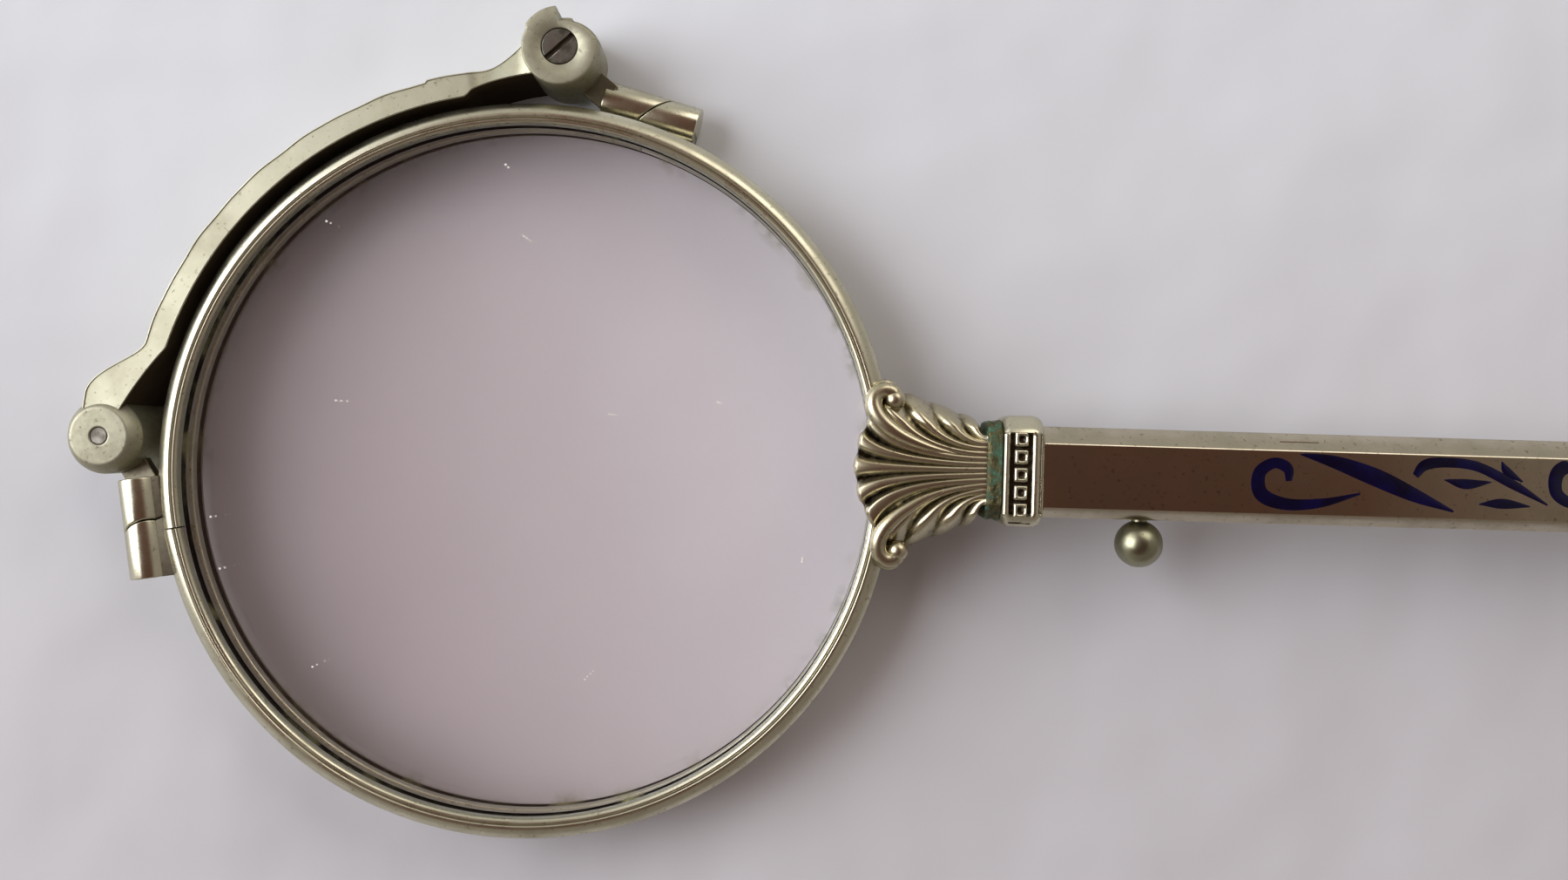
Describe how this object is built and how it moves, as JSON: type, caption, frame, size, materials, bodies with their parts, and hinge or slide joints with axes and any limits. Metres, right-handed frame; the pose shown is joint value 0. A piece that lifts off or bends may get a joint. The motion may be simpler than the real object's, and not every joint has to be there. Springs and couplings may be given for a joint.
{
  "type": "lorgnette",
  "caption": "Folding lorgnette: round lenses stacked face to face on a sprung side bridge, and a long enamel-inlaid handle with a slide catch and a hanging ring.",
  "frame": {"origin": "under the middle of the closed lorgnette's box, on the plane that its hinge drums lie on", "axes": "+X along the handle from the lenses to the hanging ring, +Y across it in the lens plane, +Z along the lens axis out of the front face"},
  "size_m": [0.1504, 0.0438, 0.0061],
  "materials": {
    "rim_metal": "worn nickel silver, polished, with dull grey-green patches",
    "bridge_metal": "worn nickel silver, polished on the flare",
    "palmette_metal": "cast and chased nickel silver, brown tarnish in the flutes",
    "mount_metal": "worn nickel silver",
    "tarnished_neck": "nickel silver with green verdigris",
    "handle_metal": "polished nickel silver with brownish reflections",
    "blue_enamel": "glossy champleve enamel, ground flush",
    "screw_steel": "slotted steel screws, dulled",
    "spring_steel": "drawn spring wire",
    "catch_metal": "filed nickel silver",
    "lens_glass": "clear crown glass"
  },
  "bodies": {
    "handle": {"front_rim": "rim_metal", "front_lens": "lens_glass", "front_block_near": "rim_metal", "front_block_far": "rim_metal", "front_block_screw": "screw_steel", "palmette": "palmette_metal", "neck_ring": "tarnished_neck", "beaded_collar": "mount_metal", "handle_tube": "handle_metal", "enamel_scrolls": "blue_enamel", "catch_spring": "spring_steel", "spring_stop": "catch_metal", "end_cap": "mount_metal"},
    "bridge": {"bridge_bar": "bridge_metal", "handle_hinge_screw": "screw_steel", "outer_hinge_screw": "screw_steel", "handle_hinge_spring": "spring_steel", "outer_hinge_spring": "spring_steel"},
    "rear_frame": {"rear_rim": "rim_metal", "rear_lens": "lens_glass", "rear_block_near": "rim_metal", "rear_block_far": "rim_metal", "rear_block_screw": "screw_steel", "keeper_lug": "rim_metal", "keeper_stud": "catch_metal"},
    "catch": {"catch_bolt": "catch_metal", "ball_knob": "mount_metal"},
    "ring": {"suspension_ring": "mount_metal"}
  },
  "joints": [
    {"name": "bridge_swing", "type": "hinge", "parent": "handle", "child": "bridge", "pos_m": [-0.07304, -0.0013, 0.00228], "axis": [0, 0, 1], "range_deg": [0, 90]},
    {"name": "rear_swing", "type": "hinge", "parent": "bridge", "child": "rear_frame", "pos_m": [-0.04956, 0.01976, 0.00228], "axis": [0, 0, 1], "range_deg": [0, 90]},
    {"name": "catch_slide", "type": "slide", "parent": "handle", "child": "catch", "axis": [1, 0, 0], "range_m": [0, 0.002], "stiffness_N_per_m": 200, "springref_m": -0.001, "deforming": ["catch_spring"]},
    {"name": "ring_swing", "type": "hinge", "parent": "handle", "child": "ring", "pos_m": [0.06758, -0.00172, 0.00425], "axis": [0, 1, 0], "range_deg": [-165, 110]}
  ]
}
